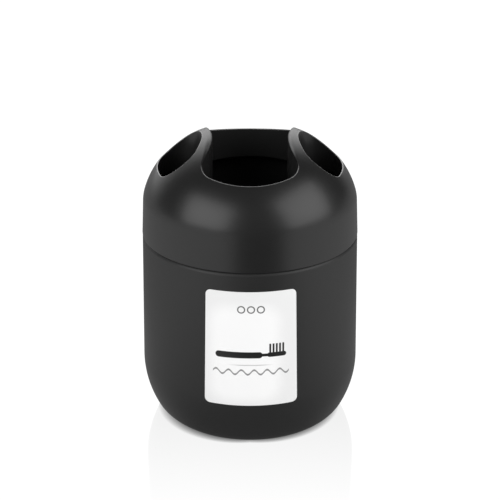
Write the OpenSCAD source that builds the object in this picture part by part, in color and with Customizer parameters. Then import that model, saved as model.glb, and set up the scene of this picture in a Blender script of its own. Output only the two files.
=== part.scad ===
// Toothbrush holder: a round-footed cup with a domed lid that lifts off. The lid has a wide mouth in
// the middle and an oval hole on each side, and each opening has an upright sleeve below it.
// The holder stands on z = 0, its axis is the Z axis, and the label faces -Y. Lengths are millimetres.

/* [Cup] */
// Width of the cup where it is widest, just above the foot
cup_w = 86.1; // [80:0.1:96]
// Height of the cup, from its underside to the rim that the lid rests on
cup_h = 76.5; // [70:0.5:110]
// How far the wall leans in between the widest place and the rim
cup_lean = 0.95; // [0.2:0.05:1.6]
// Thickness of the foot and of the wall
cup_wall = 2.8; // [2.4:0.1:3.6]
// Height of the widest place above the underside
foot_h = 23.2; // [20:0.2:32]
// Radius of the long curve of the foot, seen from the side
foot_r = 38.3; // [34:0.1:48]
// Radius of the short curve that ends the foot at the underside
foot_corner_r = 10.5; // [8:0.5:14]
// Radius of the rounded rim, on the outside
rim_edge_r = 1.6; // [0.6:0.1:2]

/* [Lid] */
// How far the lid's edge stands out past the cup's rim
lid_step = 0.05; // [0:0.05:0.4]
// Radius of the lid's lower edge
lid_edge_r = 0.4; // [0.2:0.1:0.8]
// Height of the lid's wall
lid_wall_h = 13.6; // [12:0.2:16]
// How far the lid's wall leans in over its height
lid_lean = 0.6; // [0.2:0.1:1.2]
// Radius of the shoulder above the wall
shoulder_r = 13.1; // [11:0.1:16]
// Angle at which the shoulder goes over into the crown
shoulder_turn = 16.4; // [12:0.2:24]
// Radius of the crown
crown_r = 31.4; // [28:0.1:36]
// Thickness of the lid
lid_wall = 2.2; // [1.6:0.1:2.8]
// Height of the ledge inside the lid's wall, above the seam
ledge_h = 2.5; // [1.5:0.1:5]
// Depth of the plug that holds the lid in the cup
plug_h = 9; // [6:0.5:14]
// Thickness of the plug
plug_wall = 1.8; // [1.4:0.1:2.4]
// Clearance between the plug and the cup, on the radius
plug_gap = 0.3; // [0.15:0.05:0.5]

/* [Openings in the lid] */
// Width of the dome that is left in front of the mouth and behind it, seen from above
mouth_margin = 9.9; // [8.5:0.1:12.5]
// Distance from the axis to the centre of the mouth's front or back curve
mouth_end_y = 8.7; // [6:0.1:11]
// Radius of the mouth's corners
mouth_corner_r = 7.8; // [5:0.1:9]
// Radius of the mouth's sides, which curve in round the holes
mouth_side_r = 59; // [50:0.5:80]
// Width of the ridge between the mouth and each hole
ridge_w = 4; // [3.4:0.1:4.6]
// Width of the dome that is left outside each side hole, seen from above
hole_margin = 6.7; // [5.8:0.1:8]
// Width of a side hole
hole_w = 17; // [15.5:0.1:18.5]
// Length of a side hole, from front to back
hole_l = 32.8; // [29:0.2:34.4]
// Radius of a side hole's two ends
hole_end_r = 7; // [6:0.1:7.5]
// Thickness of the sleeves below the openings
sleeve_wall = 2.3; // [1.8:0.1:2.5]
// Height of the sleeves' lower ends above the seam
sleeve_h = 18.5; // [14:0.5:22]

/* [Label] */
// Width of the label halfway up, measured straight across
label_w = 34.4; // [24:0.2:44]
// How much wider the label is at its foot than at its top
label_taper = 1.8; // [0:0.1:3]
// Height of the label's lower edge above the cup's underside
label_base_h = 21.7; // [19:0.1:30]
// Distance from the label's upper edge to the seam
label_margin = 7.4; // [5:0.1:20]
// Radius of the label's corners
label_corner_r = 2; // [1:0.5:6]
// Thickness of the label
label_t = 0.2; // [0.1:0.05:0.4]
// Angle that the label sits off the cup's front, about the axis
label_turn = 0.5; // [-5:0.5:5]

/* [Base pad] */
// Width of the flat underside that is left round the pad
pad_margin = 2.9; // [2:0.1:8]
// Thickness of the pad
pad_t = 1.1; // [0.8:0.1:1.6]
// How far the pad stands out of its recess, which lifts the cup off the shelf
pad_proud = 0.5; // [0.3:0.1:0.7]

/* [Hidden] */

// Largest turn of one flat, in degrees: on the turned outlines, the openings and the small edges
profile_step = 5;
opening_step = 7;
edge_step = 15;
// Rows of the label, counted up its height
label_rows = 12;
// Overrun of a cut past the face that it opens
overrun = 1;
// Glue under the label, and the room round the pad in its recess
glue_t = 0.05;
pad_gap = 0.3;
// Chamfer that leads the plug into the cup, on both pieces
lead_in = 0.5;

// Radii and heights of the cup
cup_base_z = pad_proud;
rim_z = cup_base_z + cup_h;
widest_r = cup_w / 2;
widest_z = cup_base_z + foot_h;
rim_r = widest_r - cup_lean;
rim_foot_z = rim_z - rim_edge_r;
cavity_r = rim_r - cup_wall;

// Centres of the foot's two curves: the short one touches the underside and the long one
foot_centre = [widest_r - foot_r, widest_z];
corner_z = cup_base_z + foot_corner_r;
corner_reach = foot_r - foot_corner_r;
corner_centre = [foot_centre.x + sqrt(pow(corner_reach, 2) - pow(widest_z - corner_z, 2)), corner_z];
foot_join = angle_to(foot_centre, corner_centre);

// Radius of the pad and height of the label, from the margins round them
pad_r = corner_centre.x - pad_margin;
label_h = cup_h - label_base_h - label_margin;

// Radii and heights of the lid, the slope of its wall, and the centres of the two curves of its dome
lid_r = rim_r + lid_step;
wall_turn = atan2(lid_lean, lid_wall_h);
wall_top = [lid_r - lid_lean, rim_z + lid_wall_h];
shoulder_centre = wall_top - shoulder_r * [cos(wall_turn), sin(wall_turn)];
crown_centre = shoulder_centre + (shoulder_r - crown_r) * [cos(shoulder_turn), sin(shoulder_turn)];
crown_z = crown_centre.y + crown_r;
plug_r = cavity_r - plug_gap;
plug_foot_z = rim_z - plug_h;
ledge_z = rim_z + ledge_h;
sleeve_foot_z = rim_z + sleeve_h;

// Place of a side hole, and the mouth's reach at its waist and at its ends
hole_x = lid_r - hole_margin - hole_w / 2;
mouth_waist_x = hole_x - hole_w / 2 - ridge_w;
mouth_end_r = lid_r - mouth_margin - mouth_end_y;

// Centres of the mouth's curves, seen from above in the quarter with x > 0 and y < 0
mouth_end_centre = [0, -mouth_end_y];
mouth_side_centre = [mouth_waist_x + mouth_side_r, 0];
mouth_corner_centre = meeting(mouth_end_centre, mouth_end_r - mouth_corner_r,
                              mouth_side_centre, mouth_side_r + mouth_corner_r);

// Radius of a side hole's long sides, which the ends' curves touch, and its centre
hole_end_y = hole_l / 2 - hole_end_r;
hole_side_r = (pow(hole_w / 2, 2) + pow(hole_end_y, 2) - pow(hole_end_r, 2)) / (hole_w - 2 * hole_end_r);
hole_side_x = hole_w / 2 - hole_side_r;

// Direction from one point to another, in degrees
function angle_to(from, to) = atan2(to.y - from.y, to.x - from.x);

// Points of an arc about c, in steps of at most step degrees
function arc(c, r, from, to, step = profile_step) =
    let (count = max(1, ceil(abs(to - from) / step)))
    [for (i = [0:count]) c + r * [cos(from + (to - from) * i / count), sin(from + (to - from) * i / count)]];

// The lower one of the two points at distance ra from a and rb from b
function meeting(a, ra, b, rb) =
    let (d = norm(b - a), u = (b - a) / d, along = (ra * ra - rb * rb + d * d) / (2 * d))
    a + along * u + sqrt(ra * ra - along * along) * [u.y, -u.x];

// A list without the points that repeat the one before them
function thinned(points) = [for (i = [0:len(points) - 1]) if (i == 0 || norm(points[i] - points[i - 1]) > 0) points[i]];

function turned_over_x(points) = [for (i = [len(points) - 1:-1:0]) [points[i].x, -points[i].y]];
function turned_over_y(points) = [for (i = [len(points) - 1:-1:0]) [-points[i].x, points[i].y]];

// The whole outline that a quarter in x > 0, y < 0 makes when it is mirrored both ways
function all_quarters(quarter) =
    let (half = concat(quarter, turned_over_x(quarter)))
    thinned(concat(half, turned_over_y(half)));

// Skin of the foot, moved inwards by inset: from the axis out to the widest place
function foot_outline(inset) = concat(
    [[0, cup_base_z + inset]],
    arc(corner_centre, foot_corner_r - inset, -90, foot_join),
    arc(foot_centre, foot_r - inset, foot_join, 0));

// Skin of the lid's dome, moved inwards by inset: from the top of the wall up to the axis
function dome_outline(inset) = concat(
    arc(shoulder_centre, shoulder_r - inset, wall_turn, shoulder_turn),
    arc(crown_centre, crown_r - inset, shoulder_turn, 90),
    [[0, crown_z - inset]]);

// Radius of the cup's skin at height z
function skin_r(z) = z > widest_z
    ? widest_r - cup_lean * (z - widest_z) / (rim_foot_z - widest_z)
    : foot_centre.x + sqrt(pow(foot_r, 2) - pow(z - widest_z, 2));

// Outline of the mouth, grown outwards by grow
function mouth_outline(grow) =
    let (end_join = angle_to(mouth_end_centre, mouth_corner_centre),
         side_join = angle_to(mouth_corner_centre, mouth_side_centre))
    all_quarters(thinned(concat(
        arc(mouth_end_centre, mouth_end_r + grow, -90, end_join, opening_step),
        arc(mouth_corner_centre, mouth_corner_r + grow, end_join, side_join, opening_step),
        arc(mouth_side_centre, mouth_side_r - grow, 180 + side_join, 180, opening_step))));

// Outline of a side hole about its own centre, grown outwards by grow
function hole_outline(grow) =
    let (join = angle_to([hole_side_x, 0], [0, -hole_end_y]))
    all_quarters(thinned(concat(
        arc([0, -hole_end_y], hole_end_r + grow, -90, join, opening_step),
        arc([hole_side_x, 0], hole_side_r + grow, join, 0, opening_step))));

// The openings seen from above, grown by grow
module openings(grow) {
    polygon(mouth_outline(grow));
    for (side = [-1, 1])
        translate([side * hole_x, 0])
            polygon(hole_outline(grow));
}

// Cup: one moulded shell with a rounded foot, a rim for the lid and a recess for the pad
module cup() {
    color([0.17, 0.17, 0.175])
        difference() {
            rotate_extrude($fn = 96)
                polygon(concat(
                    foot_outline(0),
                    arc([rim_r - rim_edge_r, rim_foot_z], rim_edge_r, 0, 90, edge_step),
                    [[0, rim_z]]));
            rotate_extrude($fn = 96)
                polygon(concat(
                    foot_outline(cup_wall),
                    [[cavity_r, rim_z - lead_in],
                     [cavity_r + lead_in + overrun, rim_z + overrun],
                     [0, rim_z + overrun]]));
            translate([0, 0, cup_base_z - overrun])
                cylinder(r = pad_r + pad_gap, h = pad_t - pad_proud + overrun, $fn = 96);
        }
}

// Lid: a domed shell with its plug, turned in one outline, then the sleeves and the openings
module lid() {
    color([0.2, 0.2, 0.205])
        difference() {
            union() {
                rotate_extrude($fn = 96)
                    polygon(lid_shell_outline());
                intersection() {
                    rotate_extrude($fn = 96)
                        polygon(concat([[0, shoulder_centre.y]], dome_outline(lid_wall / 2)));
                    translate([0, 0, sleeve_foot_z])
                        linear_extrude(crown_z - sleeve_foot_z)
                            openings(sleeve_wall);
                }
            }
            translate([0, 0, sleeve_foot_z - overrun])
                linear_extrude(crown_z - sleeve_foot_z + 2 * overrun)
                    openings(0);
        }
}

// Outline of the lid's shell and plug: up the outside, down the inside to the ledge, and round the plug
function lid_shell_outline() =
    let (inside = dome_outline(lid_wall),
         wall_in_r = lid_r - lid_lean * ledge_h / lid_wall_h - lid_wall / cos(wall_turn),
         plug_in_r = plug_r - plug_wall)
    concat(
        arc([lid_r - lid_edge_r, rim_z + lid_edge_r], lid_edge_r, -90, 0, edge_step),
        dome_outline(0),
        [for (i = [len(inside) - 1:-1:0]) inside[i]],
        [[wall_in_r, ledge_z],
         [plug_in_r, ledge_z],
         [plug_in_r, plug_foot_z],
         [plug_r - lead_in, plug_foot_z],
         [plug_r, plug_foot_z + lead_in],
         [plug_r, rim_z]]);

// Label: a thin sheet bent round the cup's front, a little wider at its foot, with round corners
module label() {
    z0 = cup_base_z + label_base_h;
    in_r = [for (i = [0:label_rows]) skin_r(z0 + label_h * i / label_rows) + glue_t];
    side_turn = atan2(label_taper / 2, label_h);
    corner_y = label_h / 2 - label_corner_r;
    corner_x = label_w / 2 - label_corner_r / cos(side_turn);
    corner_shift = corner_y * tan(side_turn);
    half_outline = concat(
        arc([corner_x + corner_shift, -corner_y], label_corner_r, -90, side_turn, edge_step),
        arc([corner_x - corner_shift, corner_y], label_corner_r, side_turn, 90, edge_step));
    span = 2 * asin(((label_w + label_taper) / 2 + overrun) / rim_r);
    color([0.96, 0.96, 0.96])
        rotate([0, 0, label_turn])
            intersection() {
                rotate([0, 0, -90 - span / 2])
                    rotate_extrude(angle = span, $fn = 96)
                        polygon(concat(
                            [for (i = [0:label_rows]) [in_r[i], z0 + label_h * i / label_rows]],
                            [for (i = [label_rows:-1:0]) [in_r[i] + label_t, z0 + label_h * i / label_rows]]));
                translate([0, 0, z0 + label_h / 2])
                    rotate([90, 0, 0])
                        linear_extrude(cup_w)
                            polygon(concat(half_outline, turned_over_y(half_outline)));
            }
}

// Base pad: a soft disc stuck in the recess under the cup
module base_pad() {
    color([0.1, 0.1, 0.1])
        cylinder(r = pad_r, h = pad_t, $fn = 96);
}

cup();
lid();
label();
base_pad();
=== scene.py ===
"""Looks of the toothbrush holder: matte cup, satin lid with rounded lips, printed label and base pad.

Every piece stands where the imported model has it. Lengths are metres and angles are radians, unless
a comment gives another unit.
"""

import math

import bmesh
import bpy
from mathutils import Matrix, Vector


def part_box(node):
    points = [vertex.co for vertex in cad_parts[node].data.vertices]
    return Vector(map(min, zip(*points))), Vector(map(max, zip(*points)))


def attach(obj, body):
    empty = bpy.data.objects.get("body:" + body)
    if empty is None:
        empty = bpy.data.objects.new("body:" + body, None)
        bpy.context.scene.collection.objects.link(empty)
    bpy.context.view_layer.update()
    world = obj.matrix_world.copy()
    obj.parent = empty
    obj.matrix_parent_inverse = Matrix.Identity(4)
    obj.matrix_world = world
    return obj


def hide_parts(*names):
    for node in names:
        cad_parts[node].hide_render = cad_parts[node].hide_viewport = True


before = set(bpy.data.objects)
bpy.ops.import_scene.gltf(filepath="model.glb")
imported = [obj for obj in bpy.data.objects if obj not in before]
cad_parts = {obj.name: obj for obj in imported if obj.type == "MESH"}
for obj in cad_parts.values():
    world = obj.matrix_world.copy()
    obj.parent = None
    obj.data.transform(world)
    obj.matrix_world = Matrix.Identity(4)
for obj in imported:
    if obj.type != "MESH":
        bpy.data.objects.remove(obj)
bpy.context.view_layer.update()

MM = 0.001
QUARTER_TURN = math.pi / 2
FULL_TURN = 2 * math.pi

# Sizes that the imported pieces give
CUP_LOW, CUP_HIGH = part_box("cup")
LID_LOW, LID_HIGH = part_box("lid")
PAD_LOW, PAD_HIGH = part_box("base_pad")
LABEL_LOW, LABEL_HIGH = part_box("label")
RIM_Z = CUP_HIGH.z
WIDEST_R = CUP_HIGH.x
LID_R = LID_HIGH.x

# Cup: its wall, its leaning side, the two curves of its foot, its small edges, and where its side
# has points, as shares of the way down
CUP_WALL = 2.8 * MM
CUP_LEAN = 0.95 * MM
FOOT_H = 23.2 * MM
FOOT_R = 38.3 * MM
FOOT_CORNER_R = 10.5 * MM
RIM_EDGE_R = 1.6 * MM
LEAD_IN = 0.5 * MM
CUP_WALL_SHARES = (0.75, 0.5, 0.25)

# Pad: the gap round it in its recess, and its rounded edges
PAD_GAP = 0.3 * MM
PAD_EDGE_R = 0.25 * MM

# Lid: its edge, its leaning wall and where that has points, as shares of the way down, the curves
# of its dome, its ledge, its plug and its sleeves
LID_EDGE_R = 0.4 * MM
LID_WALL_H = 13.6 * MM
LID_LEAN = 0.6 * MM
LID_WALL_SHARES = (0.2, 0.4, 0.6, 0.8, 0.95)
SHOULDER_R = 13.1 * MM
SHOULDER_TURN = math.radians(16.4)
CROWN_R = 31.4 * MM
LID_WALL = 2.2 * MM
LEDGE_H = 2.5 * MM
PLUG_GAP = 0.3 * MM
PLUG_WALL = 1.8 * MM
SLEEVE_WALL = 2.3 * MM
SLEEVE_FOOT_Z = RIM_Z + 18.5 * MM
SLEEVE_FOOT_ROUND = 0.3 * MM

# Openings seen from above
MOUTH_MARGIN = 9.9 * MM
MOUTH_END_Y = 8.7 * MM
MOUTH_CORNER_R = 7.8 * MM
MOUTH_SIDE_R = 59 * MM
RIDGE_W = 4 * MM
HOLE_MARGIN = 6.7 * MM
HOLE_W = 17 * MM
HOLE_L = 32.8 * MM
HOLE_END_R = 7 * MM

# Lips: fine at the holes and at the mouth's ends, full where the mouth passes the ridges, and the
# name of the mark that the fine ones get
LIP_R = 0.34 * MM
HOLE_LIP_R = 0.28 * MM
RIDGE_LIP_R = 1.6 * MM
RIDGE_LIP_FROM_Y = -20 * MM
RIDGE_LIP_TO_Y = -8 * MM
LIP_MARK = "lip"

# Label: its width halfway up, and how much wider it is at its foot than at its top
LABEL_W = 34.4 * MM
LABEL_TAPER = 1.8 * MM
LABEL_CORNER_R = 2 * MM
LABEL_EDGE_R = 0.06 * MM
LABEL_T = 0.2 * MM
GLUE_T = 0.05 * MM
LABEL_TURN = math.radians(0.5)
LABEL_H = LABEL_HIGH.z - LABEL_LOW.z
LABEL_MIDDLE_Z = (LABEL_HIGH.z + LABEL_LOW.z) / 2

# Steps round a quarter of the lid: the mouth's front, the way from mouth to hole, and the hole's outside
FRONT_STEPS = 27
BRIDGE_STEPS = 8
HOLE_STEPS = 25
QUARTER_STEPS = FRONT_STEPS + BRIDGE_STEPS + HOLE_STEPS
ROUND_STEPS = 4 * QUARTER_STEPS

# Steps of the lid's other curves, and LINK_STEPS for its short straight parts
RIDGE_STEPS = 26
LIP_STEPS = 8
SLEEVE_FOOT_STEPS = 4
SLEEVE_STEPS = 6
DOME_STEPS = 16
UNDER_STEPS = 8
LINK_STEPS = 3
LID_EDGE_STEPS = 8

# Steps of the cup, the pad and the label
FOOT_STEPS = 14
RIM_STEPS = 10
PAD_EDGE_STEPS = 4
LABEL_CORNER_STEPS = 8
LABEL_SIDE_STEPS = 16
LABEL_ACROSS_STEPS = 32

# Points closer than WELD become one, and edges that turn more than SHARP_TURN stay sharp
WELD = 0.002 * MM
SHARP_TURN = math.radians(32)


def angle_to(a, b):
    """Direction from one point of a plane to another."""
    return math.atan2(b[1] - a[1], b[0] - a[0])


def arc(centre, radius, start, end, steps):
    """Points along an arc in a plane."""
    turns = [start + (end - start) * i / steps for i in range(steps + 1)]
    return [(centre[0] + radius * math.cos(t), centre[1] + radius * math.sin(t)) for t in turns]


def between(a, b, steps):
    """The points that cut the way from a to b into equal steps, without a and b."""
    return [a + (b - a) * (i / steps) for i in range(1, steps)]


def smooth_step(x, low, high):
    """0 up to low, 1 from high, and smooth between them."""
    t = min(max((x - low) / (high - low), 0), 1)
    return t * t * (3 - 2 * t)


def placed(name, data):
    """A new object of the scene, made of a mesh, a lamp or a camera."""
    made = bpy.data.objects.new(name, data)
    bpy.context.scene.collection.objects.link(made)
    return made


def made_piece(name, sheets, material, body, node, lipped=0):
    """Sews sheets, grids of points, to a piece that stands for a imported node.

    The rows of the first few sheets, as many as lipped says, end in a lip, which is marked.
    """
    mesh = bmesh.new()
    mark = mesh.verts.layers.float.new(LIP_MARK)
    for k, sheet in enumerate(sheets):
        rows = [[mesh.verts.new(point) for point in row] for row in sheet]
        if k < lipped:
            for vertex in [vertex for row in rows for vertex in row[-LIP_STEPS:-1]]:
                vertex[mark] = 1
        for a, b in zip(rows, rows[1:]):
            for i in range(len(a) - 1):
                mesh.faces.new((a[i], a[i + 1], b[i + 1], b[i]))
    bmesh.ops.remove_doubles(mesh, verts=mesh.verts, dist=WELD)
    bmesh.ops.dissolve_degenerate(mesh, edges=mesh.edges, dist=WELD)
    bmesh.ops.recalc_face_normals(mesh, faces=mesh.faces)
    data = bpy.data.meshes.new(name)
    mesh.to_mesh(data)
    mesh.free()
    data.shade_smooth()
    data.set_sharp_from_angle(angle=SHARP_TURN)
    data.materials.append(material)
    piece = placed(name, data)
    even = piece.modifiers.new("even_normals", "WEIGHTED_NORMAL")
    even.keep_sharp = True
    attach(piece, body)
    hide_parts(node)


def turned_sheet(profile):
    """A sheet that a profile of radii and heights makes when it turns about the axis."""
    turns = [FULL_TURN * i / ROUND_STEPS for i in range(ROUND_STEPS)] + [0]
    return [[Vector((r * math.cos(t), r * math.sin(t), z)) for r, z in profile] for t in turns]


# The cup's foot: a short curve from the underside and a long one up to the widest place
FOOT_CENTRE = (WIDEST_R - FOOT_R, CUP_LOW.z + FOOT_H)
CORNER_Z = CUP_LOW.z + FOOT_CORNER_R
CORNER_CENTRE = (
    FOOT_CENTRE[0] + math.sqrt((FOOT_R - FOOT_CORNER_R) ** 2 - (FOOT_CENTRE[1] - CORNER_Z) ** 2),
    CORNER_Z,
)
FOOT_JOIN = angle_to(FOOT_CENTRE, CORNER_CENTRE)
RIM_R = WIDEST_R - CUP_LEAN
RIM_FOOT_Z = RIM_Z - RIM_EDGE_R
CAVITY_R = RIM_R - CUP_WALL


def foot_profile(inset):
    """The foot's skin, moved inwards by inset, from the underside up to the widest place."""
    short = arc(CORNER_CENTRE, FOOT_CORNER_R - inset, -QUARTER_TURN, FOOT_JOIN, FOOT_STEPS)
    return short + arc(FOOT_CENTRE, FOOT_R - inset, FOOT_JOIN, 0, FOOT_STEPS)[1:]


def skin_r(z):
    """Radius of the cup's skin at height z."""
    if z > FOOT_CENTRE[1]:
        return WIDEST_R - CUP_LEAN * (z - FOOT_CENTRE[1]) / (RIM_FOOT_Z - FOOT_CENTRE[1])
    return FOOT_CENTRE[0] + math.sqrt(FOOT_R ** 2 - (z - FOOT_CENTRE[1]) ** 2)


def cup_profile():
    """Round the cup's wall: from the recess under it, up the outside, over the rim and down inside."""
    recess_r = PAD_HIGH.x + PAD_GAP
    recess_top = PAD_HIGH.z
    wall_h = RIM_FOOT_Z - FOOT_CENTRE[1]
    leaning = [(skin_r(z), z) for z in (RIM_FOOT_Z - share * wall_h for share in CUP_WALL_SHARES)]
    rim = arc((RIM_R - RIM_EDGE_R, RIM_FOOT_Z), RIM_EDGE_R, 0, QUARTER_TURN, RIM_STEPS)
    floor_curve = foot_profile(CUP_WALL)
    return (
        [(0, recess_top), (recess_r, recess_top), (recess_r, CUP_LOW.z)]
        + foot_profile(0) + leaning + rim
        + [(CAVITY_R + LEAD_IN, RIM_Z), (CAVITY_R, RIM_Z - LEAD_IN)]
        + floor_curve[::-1]
        + [(0, floor_curve[0][1])]
    )


# The lid's wall and the dome's two curves, seen from the side
WALL_TURN = math.atan2(LID_LEAN, LID_WALL_H)
WALL_TOP = (LID_R - LID_LEAN, RIM_Z + LID_WALL_H)
SHOULDER_CENTRE = (
    WALL_TOP[0] - SHOULDER_R * math.cos(WALL_TURN),
    WALL_TOP[1] - SHOULDER_R * math.sin(WALL_TURN),
)
CROWN_CENTRE = (
    SHOULDER_CENTRE[0] + (SHOULDER_R - CROWN_R) * math.cos(SHOULDER_TURN),
    SHOULDER_CENTRE[1] + (SHOULDER_R - CROWN_R) * math.sin(SHOULDER_TURN),
)


def dome_rise(r, inset=0):
    """Angle of the dome's skin, moved inwards by inset, at radius r: a right angle on top."""
    on_shoulder = (r - SHOULDER_CENTRE[0]) / (SHOULDER_R - inset)
    on_crown = (r - CROWN_CENTRE[0]) / (CROWN_R - inset)
    part = on_shoulder if on_shoulder > math.cos(SHOULDER_TURN) else on_crown
    return max(math.acos(min(max(part, 0), 1)), WALL_TURN)


def dome_point(rise, direction, inset=0):
    """Point of the dome's skin at a rise, in a direction seen from above."""
    centre, radius = (SHOULDER_CENTRE, SHOULDER_R) if rise < SHOULDER_TURN else (CROWN_CENTRE, CROWN_R)
    r = centre[0] + (radius - inset) * math.cos(rise)
    return Vector((r * direction.x, r * direction.y, centre[1] + (radius - inset) * math.sin(rise)))


def on_dome(point, inset=0):
    """The dome's point above or below a point."""
    flat = Vector(point[:2])
    return dome_point(dome_rise(flat.length, inset), flat.normalized(), inset)


# Lengths along the dome's skin from the axis, which make a map of it without crowding
CROWN_REACH = CROWN_CENTRE[0] + CROWN_R * (QUARTER_TURN - SHOULDER_TURN)
DOME_REACH = CROWN_REACH + SHOULDER_R * (SHOULDER_TURN - WALL_TURN)


def mapped(point, inset=0):
    """Where a point of the dome lies on the map."""
    flat = Vector(point[:2])
    rise = dome_rise(flat.length, inset)
    if rise < SHOULDER_TURN:
        reach = DOME_REACH - SHOULDER_R * (rise - WALL_TURN)
    else:
        reach = CROWN_CENTRE[0] + CROWN_R * (QUARTER_TURN - rise)
    return flat.normalized() * reach


def unmapped(place, inset=0):
    """The point of the dome at a place on the map."""
    reach = place.length
    if reach > CROWN_REACH:
        rise = WALL_TURN + max(DOME_REACH - reach, 0) / SHOULDER_R
    else:
        rise = QUARTER_TURN - (reach - CROWN_CENTRE[0]) / CROWN_R
    return dome_point(rise, place.normalized(), inset)


def meeting(a, reach_a, b, reach_b):
    """Of the two points at these distances from a and b, the one to the right of the way from a to b."""
    way = Vector(b) - Vector(a)
    along = (reach_a ** 2 - reach_b ** 2 + way.length_squared) / (2 * way.length)
    unit = way.normalized()
    side = math.sqrt(reach_a ** 2 - along ** 2)
    return Vector(a) + along * unit + side * Vector((unit.y, -unit.x))


# Centres of the openings' curves in the quarter with x > 0 and y < 0, the angles where they join, and
# the angles that split off the curves beside the ridge
HOLE_X = LID_R - HOLE_MARGIN - HOLE_W / 2
MOUTH_WAIST_X = HOLE_X - HOLE_W / 2 - RIDGE_W
MOUTH_END_R = LID_R - MOUTH_MARGIN - MOUTH_END_Y
MOUTH_END = (0, -MOUTH_END_Y)
MOUTH_SIDE = (MOUTH_WAIST_X + MOUTH_SIDE_R, 0)
MOUTH_CORNER = meeting(
    MOUTH_END, MOUTH_END_R - MOUTH_CORNER_R, MOUTH_SIDE, MOUTH_SIDE_R + MOUTH_CORNER_R
)
END_JOIN = angle_to(MOUTH_END, MOUTH_CORNER)
SIDE_JOIN = angle_to(MOUTH_CORNER, MOUTH_SIDE)
MOUTH_SPLIT = math.radians(-4)

HOLE_END = (HOLE_X, HOLE_END_R - HOLE_L / 2)
HOLE_SIDE_R = ((HOLE_W / 2) ** 2 + HOLE_END[1] ** 2 - HOLE_END_R ** 2) / (HOLE_W - 2 * HOLE_END_R)
HOLE_OUTER_SIDE = (HOLE_X + HOLE_W / 2 - HOLE_SIDE_R, 0)
HOLE_INNER_SIDE = (HOLE_X - HOLE_W / 2 + HOLE_SIDE_R, 0)
HOLE_JOIN = math.pi - angle_to(HOLE_INNER_SIDE, HOLE_END) % FULL_TURN
HOLE_SPLIT = math.radians(232)

# The curves: centre, radius, start, end, and whether the centre lies inside the opening or outside it
INSIDE = 1
OUTSIDE = -1
MOUTH_FRONT = [
    (MOUTH_END, MOUTH_END_R, -QUARTER_TURN, END_JOIN, INSIDE),
    (MOUTH_CORNER, MOUTH_CORNER_R, END_JOIN, MOUTH_SPLIT, INSIDE),
]
MOUTH_RIDGE = [
    (MOUTH_CORNER, MOUTH_CORNER_R, MOUTH_SPLIT, SIDE_JOIN, INSIDE),
    (MOUTH_SIDE, MOUTH_SIDE_R, math.pi + SIDE_JOIN, math.pi, OUTSIDE),
]
HOLE_RIDGE = [
    (HOLE_INNER_SIDE, HOLE_SIDE_R, math.pi, math.pi - HOLE_JOIN, INSIDE),
    (HOLE_END, HOLE_END_R, math.pi - HOLE_JOIN, HOLE_SPLIT, INSIDE),
]
HOLE_OUTSIDE = [
    (HOLE_END, HOLE_END_R, HOLE_SPLIT, FULL_TURN + HOLE_JOIN, INSIDE),
    (HOLE_OUTER_SIDE, HOLE_SIDE_R, FULL_TURN + HOLE_JOIN, FULL_TURN, INSIDE),
]


def stations(curves, steps, grow=0):
    """Equal steps along joined curves grown outwards: each a point and the way out of the opening."""
    lengths = [abs(end - start) * (radius + side * grow) for _, radius, start, end, side in curves]
    found = []
    for i in range(steps + 1):
        left = sum(lengths) * i / steps
        k = 0
        while k < len(curves) - 1 and left > lengths[k]:
            left -= lengths[k]
            k += 1
        centre, radius, start, end, side = curves[k]
        turn = start + (end - start) * left / lengths[k]
        way = Vector((math.cos(turn), math.sin(turn)))
        found.append((Vector(centre) + (radius + side * grow) * way, side * way))
    return found


def lip_points(point, out, radius):
    """A ball of that radius rolls between the opening's wall and the dome: the round that it leaves."""
    ball = point + radius * out
    flat = ball.normalized()
    rise = dome_rise(ball.length, radius)
    centre = dome_point(rise, flat, radius)
    start = Vector((-out.x, -out.y, 0))
    end = Vector((flat.x * math.cos(rise), flat.y * math.cos(rise), math.sin(rise)))
    return [centre + radius * start.slerp(end, i / LIP_STEPS) for i in range(LIP_STEPS + 1)]


def opening_column(point, out, radius):
    """Up the wall of an opening: round its sleeve's foot, up the sleeve and over the lip."""
    foot = []
    for i in range(SLEEVE_FOOT_STEPS + 1):
        turn = QUARTER_TURN * i / SLEEVE_FOOT_STEPS
        place = point + SLEEVE_FOOT_ROUND * (1 - math.sin(turn)) * out
        foot.append(Vector((place.x, place.y, SLEEVE_FOOT_Z + SLEEVE_FOOT_ROUND * (1 - math.cos(turn)))))
    lip = lip_points(point, out, radius)
    return foot + between(foot[-1], lip[0], SLEEVE_STEPS) + lip


def ridge_lip(point):
    """Radius of the mouth's lip, which grows where the mouth passes the ridge."""
    return LIP_R + (RIDGE_LIP_R - LIP_R) * smooth_step(point.y, RIDGE_LIP_FROM_Y, RIDGE_LIP_TO_Y)


def lid_profile():
    """Down the outside of the lid's wall, round its edge and its plug, and up to the ledge inside."""
    plug_r = CAVITY_R - PLUG_GAP
    plug_in_r = plug_r - PLUG_WALL
    ledge_z = RIM_Z + LEDGE_H
    wall_in_r = LID_R - LID_LEAN * LEDGE_H / LID_WALL_H - LID_WALL / math.cos(WALL_TURN)
    edge_centre = (LID_R - LID_EDGE_R, RIM_Z + LID_EDGE_R)
    edge = arc(edge_centre, LID_EDGE_R, 0, -QUARTER_TURN, LID_EDGE_STEPS)
    wall = [Vector(WALL_TOP).lerp(Vector(edge[0]), share) for share in LID_WALL_SHARES]
    return (
        [tuple(point) for point in wall]
        + edge
        + [(plug_r, RIM_Z), (plug_r, LID_LOW.z + LEAD_IN), (plug_r - LEAD_IN, LID_LOW.z)]
        + [(plug_in_r, LID_LOW.z), (plug_in_r, ledge_z), (wall_in_r, ledge_z)]
    )


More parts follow.
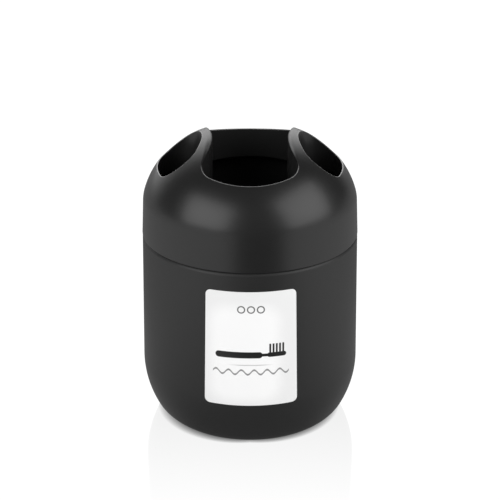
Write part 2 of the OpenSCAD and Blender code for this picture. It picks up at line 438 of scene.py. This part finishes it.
def ridge_sheets(mouth_columns, hole_columns):
    """The ridge between the mouth and the hole: its top, and the foot of its sleeves."""
    top = []
    foot = []
    for mouth, hole in zip(mouth_columns, hole_columns):
        over = between(mapped(mouth[-1]), mapped(hole[-1]), BRIDGE_STEPS)
        top.append([mouth[-1]] + [unmapped(place) for place in over] + [hole[-1]])
        foot.append([mouth[0]] + between(mouth[0], hole[0], BRIDGE_STEPS) + [hole[0]])
    return top, foot


def sleeve_outline():
    """Points round the outside of the sleeves: the mouth's as far as where it meets the hole's."""
    crossing = meeting(MOUTH_SIDE, MOUTH_SIDE_R - SLEEVE_WALL, HOLE_END, HOLE_END_R + SLEEVE_WALL)
    mouth_stop = angle_to(MOUTH_SIDE, crossing) % FULL_TURN
    hole_start = angle_to(HOLE_END, crossing) % FULL_TURN
    mouth_part = [
        MOUTH_FRONT[0],
        (MOUTH_CORNER, MOUTH_CORNER_R, END_JOIN, SIDE_JOIN, INSIDE),
        (MOUTH_SIDE, MOUTH_SIDE_R, math.pi + SIDE_JOIN, mouth_stop, OUTSIDE),
    ]
    hole_part = [
        (HOLE_END, HOLE_END_R, hole_start, FULL_TURN + HOLE_JOIN, INSIDE),
        HOLE_OUTSIDE[1],
    ]
    half_bridge = BRIDGE_STEPS // 2
    outline = stations(mouth_part, FRONT_STEPS + half_bridge, SLEEVE_WALL)
    outline += stations(hole_part, HOLE_STEPS + BRIDGE_STEPS - half_bridge, SLEEVE_WALL)[1:]
    return [point for point, _ in outline]


def shell_column(top, foot, sleeve, way):
    """From a lip down the dome and the wall, up again inside, and down the sleeve's outside to its foot."""
    wall_top = DOME_REACH * way
    column = [top] + [unmapped(place) for place in between(mapped(top), wall_top, DOME_STEPS)]
    column.append(dome_point(WALL_TURN, way))
    column += [Vector((r * way.x, r * way.y, z)) for r, z in lid_profile()]
    column.append(dome_point(WALL_TURN, way, LID_WALL))
    inside = between(wall_top, mapped(sleeve, LID_WALL), UNDER_STEPS)
    column += [unmapped(place, LID_WALL) for place in inside]
    sleeve_top = on_dome(sleeve, LID_WALL)
    sleeve_top.z = max(sleeve_top.z, SLEEVE_FOOT_Z + SLEEVE_FOOT_ROUND)
    sleeve_foot = Vector((sleeve.x, sleeve.y, SLEEVE_FOOT_Z))
    column += [sleeve_top] + between(sleeve_top, sleeve_foot, LINK_STEPS)
    column += [sleeve_foot] + between(sleeve_foot, foot, LINK_STEPS)
    column.append(foot)
    return column


def lid_quarter():
    """The quarter with x > 0 and y < 0: the sheets that end in a fine lip, and then the others."""
    mouth_front = [opening_column(p, out, LIP_R) for p, out in stations(MOUTH_FRONT, FRONT_STEPS)]
    mouth_ridge = [opening_column(p, out, ridge_lip(p)) for p, out in stations(MOUTH_RIDGE, RIDGE_STEPS)]
    mouth_ridge.reverse()
    hole_ridge = [opening_column(p, out, HOLE_LIP_R) for p, out in stations(HOLE_RIDGE, RIDGE_STEPS)]
    hole_outside = [opening_column(p, out, HOLE_LIP_R) for p, out in stations(HOLE_OUTSIDE, HOLE_STEPS)]
    ridge, ridge_foot = ridge_sheets(mouth_ridge, hole_ridge)

    # Where the dome and the sleeves' foot start, from the mouth's front round to the hole's outside
    tops = [c[-1] for c in mouth_front] + ridge[-1][1:-1] + [c[-1] for c in hole_outside]
    feet = [c[0] for c in mouth_front] + ridge_foot[-1][1:-1] + [c[0] for c in hole_outside]
    columns = []
    for i, (top, foot, sleeve) in enumerate(zip(tops, feet, sleeve_outline())):
        turn = -QUARTER_TURN + QUARTER_TURN * i / QUARTER_STEPS
        way = Vector((math.cos(turn), math.sin(turn)))
        columns.append(shell_column(top, foot, sleeve, way))
    return [mouth_front, hole_ridge, hole_outside], [mouth_ridge, ridge, ridge_foot, columns]


def mirrored(sheets, x, y):
    """The sheets mirrored where x or y is -1."""
    return [[[Vector((x * p.x, y * p.y, p.z)) for p in row] for row in sheet] for sheet in sheets]


def whole(quarter):
    """All four quarters of the lid, made from one."""
    return [sheet for x in (1, -1) for y in (1, -1) for sheet in mirrored(quarter, x, y)]


def label_point(across, z, lift):
    """A point of the label: how far across it lies, its height, and how far it stands off the cup."""
    r = skin_r(z) + lift
    flat = Vector((across, -math.sqrt(r * r - across * across)))
    flat.rotate(Matrix.Rotation(LABEL_TURN, 2))
    return Vector((flat.x, flat.y, z))


def label_sheets():
    """The label's face, its thin edge and its back, as rows from its foot to its top."""
    half_h = LABEL_H / 2
    turn = math.atan2(LABEL_TAPER / 2, LABEL_H)
    corner_w = LABEL_W / 2 - LABEL_CORNER_R / math.cos(turn)
    corner_h = half_h - LABEL_CORNER_R
    shift = corner_h * math.tan(turn)
    foot_centre = (corner_w + shift, -corner_h)
    top_centre = (corner_w - shift, corner_h)
    foot = arc(foot_centre, LABEL_CORNER_R, -QUARTER_TURN, turn, LABEL_CORNER_STEPS)
    top = arc(top_centre, LABEL_CORNER_R, turn, QUARTER_TURN, LABEL_CORNER_STEPS)
    side = between(Vector(foot[-1]), Vector(top[0]), LABEL_SIDE_STEPS)
    rows = foot + [tuple(point) for point in side] + top
    shares = [-1 + 2 * i / LABEL_ACROSS_STEPS for i in range(LABEL_ACROSS_STEPS + 1)]

    def sheet(inset, lift):
        scaled = [(w - inset, h * (1 - inset / half_h)) for w, h in rows]
        return [[label_point(s * w, LABEL_MIDDLE_Z + h, lift) for s in shares] for w, h in scaled]

    def border(grid):
        up_right = [row[-1] for row in grid[1:]]
        down_left = [row[0] for row in grid[-2::-1]]
        return grid[0] + up_right + grid[-1][-2::-1] + down_left

    face_lift = GLUE_T + LABEL_T
    face = sheet(LABEL_EDGE_R, face_lift)
    edge = sheet(0, face_lift - LABEL_EDGE_R)
    back = sheet(0, GLUE_T)
    return [face, [border(face), border(edge), border(back)], back]


def pad_profile():
    """Section of the pad, with rounded edges."""
    top = PAD_HIGH.z
    foot = PAD_LOW.z
    edge_r = PAD_HIGH.x - PAD_EDGE_R
    return (
        [(0, foot), (edge_r, foot)]
        + arc((edge_r, foot + PAD_EDGE_R), PAD_EDGE_R, -QUARTER_TURN, 0, PAD_EDGE_STEPS)[1:]
        + arc((edge_r, top - PAD_EDGE_R), PAD_EDGE_R, 0, QUARTER_TURN, PAD_EDGE_STEPS)
        + [(0, top)]
    )


class Value:
    """Something that varies over a surface. Python's operators on it add Math nodes to its paint."""

    def __init__(self, paint, socket):
        self.paint = paint
        self.socket = socket

    def maths(self, operation, *values):
        """Adds a Math node with that operation on the values."""
        return self.paint.node("ShaderNodeMath", {"operation": operation}, dict(enumerate(values)))

    def __add__(self, other):
        return self.maths("ADD", self, other)

    def __sub__(self, other):
        return self.maths("SUBTRACT", self, other)

    def __rsub__(self, other):
        return self.maths("SUBTRACT", other, self)

    def __mul__(self, other):
        return self.maths("MULTIPLY", self, other)

    def __truediv__(self, other):
        return self.maths("DIVIDE", self, other)

    def __pow__(self, other):
        return self.maths("POWER", self, other)

    def __abs__(self):
        return self.maths("ABSOLUTE", self)

    __radd__ = __add__
    __rmul__ = __mul__

    def least(self, other):
        return self.maths("MINIMUM", self, other)

    def most(self, other):
        return self.maths("MAXIMUM", self, other)

    def fraction(self):
        return self.maths("FRACT", self)

    def sine(self):
        return self.maths("SINE", self)

    def root(self):
        return self.maths("SQRT", self)

    def turn_from(self, other):
        """Angle whose tangent is this value divided by the other."""
        return self.maths("ARCTAN2", self, other)

    def ramp(self, low, high):
        """0 up to low, 1 from high, and smooth between them."""
        settings = {"interpolation_type": "SMOOTHSTEP"}
        inputs = {"Value": self, "From Min": low, "From Max": high}
        return self.paint.node("ShaderNodeMapRange", settings, inputs)


class Paint:
    """The nodes of one material or world, each added by the same method."""

    def __init__(self, owner):
        owner.use_nodes = True
        self.owner = owner
        self.tree = owner.node_tree
        self.tree.nodes.clear()

    def node(self, kind, settings=None, inputs=None, output=0):
        """Adds a node with its settings, then the values or links of its sockets, and gives one output."""
        made = self.tree.nodes.new(kind)
        for name, value in (settings or {}).items():
            setattr(made, name, value)
        for key, value in (inputs or {}).items():
            if isinstance(value, Value):
                self.tree.links.new(value.socket, made.inputs[key])
            else:
                made.inputs[key].default_value = value
        return Value(self, made.outputs[output]) if made.outputs else None

    def colour(self, share, first, second):
        """A colour that goes from the first to the second as share goes from 0 to 1."""
        return self.node("ShaderNodeMix", {"data_type": "RGBA"}, {0: share, 6: first, 7: second}, 2)

    def noise(self, place, scale, detail, roughness=0.5):
        inputs = {"Vector": place, "Scale": scale, "Detail": detail, "Roughness": roughness}
        return self.node("ShaderNodeTexNoise", {}, inputs)

    def bump(self, height, depth, strength):
        inputs = {"Strength": strength, "Distance": depth, "Height": height}
        return self.node("ShaderNodeBump", {}, inputs)

    def place(self):
        return self.node("ShaderNodeTexCoord", output="Object")

    def parts(self, vector):
        """The three parts of a vector."""
        split = self.node("ShaderNodeSeparateXYZ", {}, {0: vector})
        return [Value(self, socket) for socket in split.socket.node.outputs]

    def rays(self):
        """Three values, 1 for the camera's rays, reflected rays and rays through something clear."""
        outputs = self.node("ShaderNodeLightPath").socket.node.outputs
        kinds = ("Is Camera Ray", "Is Glossy Ray", "Is Transmission Ray")
        return [Value(self, outputs[kind]) for kind in kinds]

    def surface(self, **inputs):
        """Ends a material in one surface shader."""
        named = {name.replace("_", " ").title(): value for name, value in inputs.items()}
        shader = self.node("ShaderNodeBsdfPrincipled", {}, named)
        self.node("ShaderNodeOutputMaterial", {}, {"Surface": shader})
        return self.owner


def grey(level):
    return (level, level, level, 1)


# Plastic of the cup and the lid: its tone and gloss, its faint clouds, and its fine grain
PLASTIC_TONE = 0.0142
CUP_ROUGHNESS = 0.5
LID_ROUGHNESS = 0.32
CLOUD_SCALE = 45
CLOUD_DETAIL = 3
CLOUD_TONE_SHARES = (0.92, 1.08)
CLOUD_GLOSS = 0.08
GRAIN_SCALE = 5200
GRAIN_DETAIL = 2
GRAIN_SHARPNESS = 0.6
GRAIN_GLOSS = 0.05
GRAIN_STRENGTH = 0.35
CUP_GRAIN_DEPTH = 0.05 * MM
LID_GRAIN_DEPTH = 0.02 * MM

# The lid's fine lips get a painted highlight, a paler tone than the rest, and a glossier coat, so that they
# catch the light
LIP_HIGHLIGHT_TONE = 0.1
LIP_COAT = 0.7
LIP_COAT_ROUGHNESS = 0.12


def moulded_plastic(name, roughness, grain_depth, has_lips):
    """Black moulded plastic: a fine grain, faint clouds in its tone and gloss, and on any lips a painted
    highlight, a paler tone, under a glossy coat.
    """
    paint = Paint(bpy.data.materials.new(name))
    place = paint.place()
    clouds = paint.noise(place, CLOUD_SCALE, CLOUD_DETAIL)
    grain = paint.noise(place, GRAIN_SCALE, GRAIN_DETAIL, GRAIN_SHARPNESS)
    dark, pale = [grey(PLASTIC_TONE * share) for share in CLOUD_TONE_SHARES]
    tone = paint.colour(clouds, dark, pale)
    coat = 0
    if has_lips:
        lip = paint.node("ShaderNodeAttribute", {"attribute_name": LIP_MARK}, output="Fac")
        # Painted highlight: the lips' paler tone stands in for the light they catch
        tone = paint.colour(lip, tone, grey(LIP_HIGHLIGHT_TONE))
        coat = lip * LIP_COAT
    return paint.surface(
        base_color=tone,
        roughness=roughness + (clouds - 0.5) * CLOUD_GLOSS + (grain - 0.5) * GRAIN_GLOSS,
        coat_weight=coat,
        coat_roughness=LIP_COAT_ROUGHNESS,
        normal=paint.bump(grain, grain_depth, GRAIN_STRENGTH),
    )


# Rubber of the pad: its pores, darkened with painted shade, and its tones
PORE_SCALE = 1800
PORE_RAMP = (0.1, 0.6)
PORE_DEPTH = 0.06 * MM
PORE_STRENGTH = 0.6
PORE_SHADE_TONE = 0.012
RUBBER_TONE = 0.03
RUBBER_ROUGHNESS = 0.85


def foam_rubber(name):
    """The pad's dull rubber, with open pores darkened by painted shade."""
    paint = Paint(bpy.data.materials.new(name))
    pores = paint.node("ShaderNodeTexVoronoi", {}, {"Vector": paint.place(), "Scale": PORE_SCALE})
    shade = pores.ramp(*PORE_RAMP)
    return paint.surface(
        # Painted shade: the pores' darker tone stands in for the shade inside them
        base_color=paint.colour(shade, grey(PORE_SHADE_TONE), grey(RUBBER_TONE)),
        roughness=RUBBER_ROUGHNESS,
        normal=paint.bump(shade, PORE_DEPTH, PORE_STRENGTH),
    )


# Print of the label, in millimetres from the label's middle: u to the right, v up
INK_EDGE = 0.12
BUBBLES_V = 16.6
BUBBLE_R = 1.3
BUBBLE_STEP = 3.7
BUBBLE_LINE = 0.24
BRUSH_V = -2.2
HANDLE_U = -4.6
HANDLE_HALF = (9, 1.3)
NECK_U = 4
NECK_HALF = (4.8, 0.6)
HEAD_U = 9.8
HEAD_HALF = (3.7, 0.95)
TUFT_STEP = 1.26
TUFT_HALF_W = 0.37
TUFTS_UP = 2.55
TUFTS_HALF = (2.95, 2)
TUFTS_CORNER = 0.2
RULE_V = -6.4
RULE_HALF_L = 9.5
RULE_FADE_FROM = 2.85
RULE_LINE = 0.2
WAVE_V = -9.4
WAVE_HALF_L = 14.6
WAVE_LENGTH = 4.87
WAVE_RISE = 0.95
WAVE_LINE = 0.39

# Tone of each ink, and how much of the paper it covers
BUBBLES_INK = (0.03, 0.9)
BRUSH_INK = (0.012, 1)
RULE_INK = (0.3, 0.6)
WAVE_INK = (0.16, 0.85)

# The paper's bright middle: its centre, half its width and height, and how far its edge fades
BRIGHT_MIDDLE = (-2.45, -2.1)
BRIGHT_HALF = (12.65, 18.9)
BRIGHT_CORNER = 6
BRIGHT_RAMP = (-3, 4.5)

# Paper: its tones, its gloss and its fibres
PAPER_TONE = 0.93
PAPER_EDGE_TONE = 0.83
PAPER_ROUGHNESS = 0.42
FIBRE_SCALE = 2500
FIBRE_DETAIL = 3
FIBRE_GLOSS = 0.1
FIBRE_DEPTH = 0.02 * MM
FIBRE_STRENGTH = 0.08


def inked(distance):
    """1 inside a printed shape and 0 outside it, from its distance."""
    return 1 - distance.ramp(-INK_EDGE, INK_EDGE)


def box_distance(u, v, middle, half, corner):
    """How far a place lies outside a box with round corners, less than 0 inside it."""
    across = abs(u - middle[0]) - (half[0] - corner)
    up = abs(v - middle[1]) - (half[1] - corner)
    outside = (across.most(0) ** 2 + up.most(0) ** 2).root()
    return outside + across.most(up).least(0) - corner


def printed_bubbles(u, v):
    """Three bubbles in a row."""
    beside = abs(abs(u) - BUBBLE_STEP / 2) - BUBBLE_STEP / 2
    reach = (beside ** 2 + (v - BUBBLES_V) ** 2).root()
    return inked(abs(reach - BUBBLE_R) - BUBBLE_LINE)


def printed_brush(u, v):
    """A toothbrush seen from the side: handle, slim neck, head and its tufts."""
    handle = box_distance(u, v, (HANDLE_U, BRUSH_V), HANDLE_HALF, HANDLE_HALF[1])
    neck = box_distance(u, v, (NECK_U, BRUSH_V), NECK_HALF, NECK_HALF[1])
    head = box_distance(u, v, (HEAD_U, BRUSH_V), HEAD_HALF, HEAD_HALF[1])
    along = (u - HEAD_U) / TUFT_STEP + 0.5
    tuft = abs(along.fraction() - 0.5) * TUFT_STEP - TUFT_HALF_W
    tufts = tuft.most(box_distance(u, v, (HEAD_U, BRUSH_V + TUFTS_UP), TUFTS_HALF, TUFTS_CORNER))
    return inked(handle.least(neck).least(head).least(tufts))


def printed_rule(u, v):
    """A fine rule that fades towards its ends."""
    return inked(abs(v - RULE_V) - RULE_LINE) * (1 - abs(u).ramp(RULE_FADE_FROM, RULE_HALF_L))


def printed_wave(u, v):
    """A light wave below the rule."""
    crest = WAVE_V + WAVE_RISE * (u * (FULL_TURN / WAVE_LENGTH)).sine()
    return inked((abs(v - crest) - WAVE_LINE).most(abs(u) - WAVE_HALF_L))


def printed_label(name):
    """Coated white paper, a little greyer towards its edges, with a generic print in black and grey."""
    paint = Paint(bpy.data.materials.new(name))
    place = paint.place()
    x, y, z = paint.parts(place)
    u = (x.turn_from(y * -1) - LABEL_TURN) * (WIDEST_R / MM)
    v = (z - LABEL_MIDDLE_Z) / MM
    outer = box_distance(u, v, BRIGHT_MIDDLE, BRIGHT_HALF, BRIGHT_CORNER).ramp(*BRIGHT_RAMP)
    colour = paint.colour(outer, grey(PAPER_TONE), grey(PAPER_EDGE_TONE))
    prints = (
        (printed_bubbles, BUBBLES_INK),
        (printed_brush, BRUSH_INK),
        (printed_rule, RULE_INK),
        (printed_wave, WAVE_INK),
    )
    for printed, (tone, cover) in prints:
        colour = paint.colour(printed(u, v) * cover, colour, grey(tone))
    fibres = paint.noise(place, FIBRE_SCALE, FIBRE_DETAIL)
    return paint.surface(
        base_color=colour,
        roughness=PAPER_ROUGHNESS + (fibres - 0.5) * FIBRE_GLOSS,
        normal=paint.bump(fibres, FIBRE_DEPTH, FIBRE_STRENGTH),
    )


cup_plastic = moulded_plastic("cup_plastic", CUP_ROUGHNESS, CUP_GRAIN_DEPTH, has_lips=False)
lid_plastic = moulded_plastic("lid_plastic", LID_ROUGHNESS, LID_GRAIN_DEPTH, has_lips=True)
cup_sheets = [turned_sheet(cup_profile())]
made_piece("cup_shell", cup_sheets, cup_plastic, "cup", "cup")

quarter_lipped, quarter_plain = lid_quarter()
lipped_sheets = whole(quarter_lipped)
lid_sheets = lipped_sheets + whole(quarter_plain)
made_piece("lid_shell", lid_sheets, lid_plastic, "lid", "lid", len(lipped_sheets))

label_print = printed_label("label_print")
made_piece("front_label", label_sheets(), label_print, "cup", "label")

pad_rubber = foam_rubber("pad_rubber")
pad_sheets = [turned_sheet(pad_profile())]
made_piece("pad_disc", pad_sheets, pad_rubber, "cup", "base_pad")

# Camera: in front of the holder, looking down on it
CAMERA_PLACE = (0, -0.5063, 0.2916)
CAMERA_PITCH = 0.416
CAMERA_LENS = 100.73
CAMERA_SENSOR = 36
camera_data = bpy.data.cameras.new("camera")
camera_data.lens = CAMERA_LENS
camera_data.sensor_width = CAMERA_SENSOR
camera = placed("camera", camera_data)
camera.location = CAMERA_PLACE
camera.rotation_euler = (QUARTER_TURN - CAMERA_PITCH, 0, 0)
bpy.context.scene.camera = camera


def soft_box(name, azimuth, elevation, distance, width, height, power):
    """A soft box that shines on the lid: degrees from the front towards +X and upwards, and watts."""
    data = bpy.data.lights.new(name, "AREA")
    data.shape = "RECTANGLE"
    data.size = width
    data.size_y = height
    data.energy = power
    turn = math.radians(azimuth)
    rise = math.radians(elevation)
    way = Vector((math.sin(turn) * math.cos(rise), -math.cos(turn) * math.cos(rise), math.sin(rise)))
    aim = Vector((0, 0, (RIM_Z + LID_HIGH.z) / 2))
    lamp = placed(name, data)
    lamp.location = aim + way * distance
    lamp.rotation_euler = way.to_track_quat("Z", "Y").to_euler()
    lamp.visible_camera = False


soft_box("left_box", azimuth=-48, elevation=22, distance=0.9, width=0.86, height=0.6, power=4.1)
soft_box("right_box", azimuth=65, elevation=26, distance=0.9, width=0.9, height=0.72, power=5.1)

# World: white where the camera sees it, and in reflections bright only behind the holder, a little to
# the left: the direction of that glow, how its edge fades, its level near the floor and its rise up to
# its full height. AMBIENT is the level at which the world lights dull surfaces.
GLOW_WAY = (-0.18, 0.98)
GLOW_RAMP = (0.47, 0.95)
GLOW_LEVEL = 1.3
GLOW_RISE = 0.6
GLOW_FULL_HEIGHT = 0.4
AMBIENT = 0.5


def studio_world():
    """The studio round the holder, which lights it evenly and shows a bright wall in reflections."""
    world = bpy.data.worlds.new("studio")
    paint = Paint(world)
    is_camera, is_glossy, is_clear = paint.rays()
    right, back, up = paint.parts(paint.node("ShaderNodeTexCoord", output="Generated"))
    behind = (back * GLOW_WAY[1] + right * GLOW_WAY[0]).ramp(*GLOW_RAMP)
    glow = behind * (up.ramp(0, GLOW_FULL_HEIGHT) * GLOW_RISE + GLOW_LEVEL)
    strength = is_camera + is_clear + is_glossy * glow + (1 - is_camera - is_clear - is_glossy) * AMBIENT
    background = paint.node("ShaderNodeBackground", {}, {"Color": grey(1), "Strength": strength})
    paint.node("ShaderNodeOutputWorld", {}, {"Surface": background})
    world.cycles.sampling_method = "NONE"
    return world


bpy.context.scene.world = studio_world()

# Floor as the camera sees it: a painted shadow, a dark line under the foot, wider at the sides and most at
# the left
SHADOW_LINE_REACH = 1.35 * MM
SHADOW_LINE_WIDENING = 0.05
SHADOW_LINE_SLANT = 0.008
SHADOW_LINE_SAMPLES = 16

# Floor as a mirror: its share grows backwards from the front, by so much a metre and up to a most,
# and it ends round the holder, where the floor gains a little brightness and stays white
MIRROR_FROM_Y = -79 * MM
MIRROR_GROWTH = 1.97
MIRROR_MOST = 0.13
MIRROR_END_RAMP = (88 * MM, 140 * MM)
MIRROR_ROUGHNESS = 0.06
BEYOND_GAIN = 0.1

# Floor in reflections: dim near the foot, which is painted shade, and brighter there at the sides, and away
# from the foot dark in front, bright beside the holder and dim behind it
FRONT_TURN = math.radians(9)
FRONT_RAMP = (math.radians(16), math.radians(32))
SIDE_RAMP = (math.radians(30), math.radians(90))
BACK_RAMP = (math.radians(60), math.radians(150))
NEAR_SHADE_LEVEL = 0.22
NEAR_SIDE_GAIN = 0.3
AWAY_RAMP = (90 * MM, 150 * MM)
AWAY_LEVEL = 0.78
AWAY_BACK_DROP = 0.5

# Tone of the floor where it lights the holder, and how far it goes each way
MATTE_TONE = 0.8
FLOOR_REACH = 4


def floor_material():
    """White floor with a painted shadow line under the foot, and a reflection that fades towards the front.
    """
    paint = Paint(bpy.data.materials.new("floor_white"))
    is_camera, is_glossy, _ = paint.rays()
    x, y, _ = paint.parts(paint.place())
    radius = (x * x + y * y).root()
    turn = x.turn_from(y * -1)

    # Painted shadow: ambient occlusion darkens the floor's glow in a thin line under the foot
    shadow_reach = abs(x) * SHADOW_LINE_WIDENING - x * SHADOW_LINE_SLANT + SHADOW_LINE_REACH
    settings = {"samples": SHADOW_LINE_SAMPLES}
    painted_shadow = paint.node("ShaderNodeAmbientOcclusion", settings, {"Distance": shadow_reach}, "AO")
    beyond = radius.ramp(*MIRROR_END_RAMP)
    shown = painted_shadow * (1 + beyond * BEYOND_GAIN)

    # Painted shade: near the foot the floor glows dimmer in reflections, standing in for the shade there
    near = abs(turn).ramp(*SIDE_RAMP) * NEAR_SIDE_GAIN + NEAR_SHADE_LEVEL
    beside = abs(turn - FRONT_TURN).ramp(*FRONT_RAMP)
    away = beside * (AWAY_LEVEL - abs(turn).ramp(*BACK_RAMP) * AWAY_BACK_DROP)
    reflected = near + radius.ramp(*AWAY_RAMP) * (away - near)

    level = is_camera * shown + is_glossy * reflected
    glow = paint.node("ShaderNodeEmission", {}, {"Color": grey(1), "Strength": level})
    matte = paint.node("ShaderNodeBsdfDiffuse", {}, {"Color": grey(MATTE_TONE)})
    glowing = is_camera.most(is_glossy)
    base = paint.node("ShaderNodeMixShader", {}, {0: glowing, 1: matte, 2: glow})

    mirror = paint.node("ShaderNodeBsdfGlossy", {}, {"Color": grey(1), "Roughness": MIRROR_ROUGHNESS})
    growth = ((y - MIRROR_FROM_Y) * MIRROR_GROWTH).most(0).least(MIRROR_MOST)
    share = growth * (1 - beyond) * is_camera
    whole_floor = paint.node("ShaderNodeMixShader", {}, {0: share, 1: base, 2: mirror})
    paint.node("ShaderNodeOutputMaterial", {}, {"Surface": whole_floor})
    paint.owner.cycles.emission_sampling = "NONE"
    return paint.owner


floor_mesh = bpy.data.meshes.new("floor")
corners = [(x * FLOOR_REACH, y * FLOOR_REACH, 0) for x, y in ((-1, -1), (1, -1), (1, 1), (-1, 1))]
floor_mesh.from_pydata(corners, [], [(0, 1, 2, 3)])
floor_mesh.materials.append(floor_material())
floor = placed("floor", floor_mesh)

bpy.context.scene.view_settings.view_transform = "Standard"
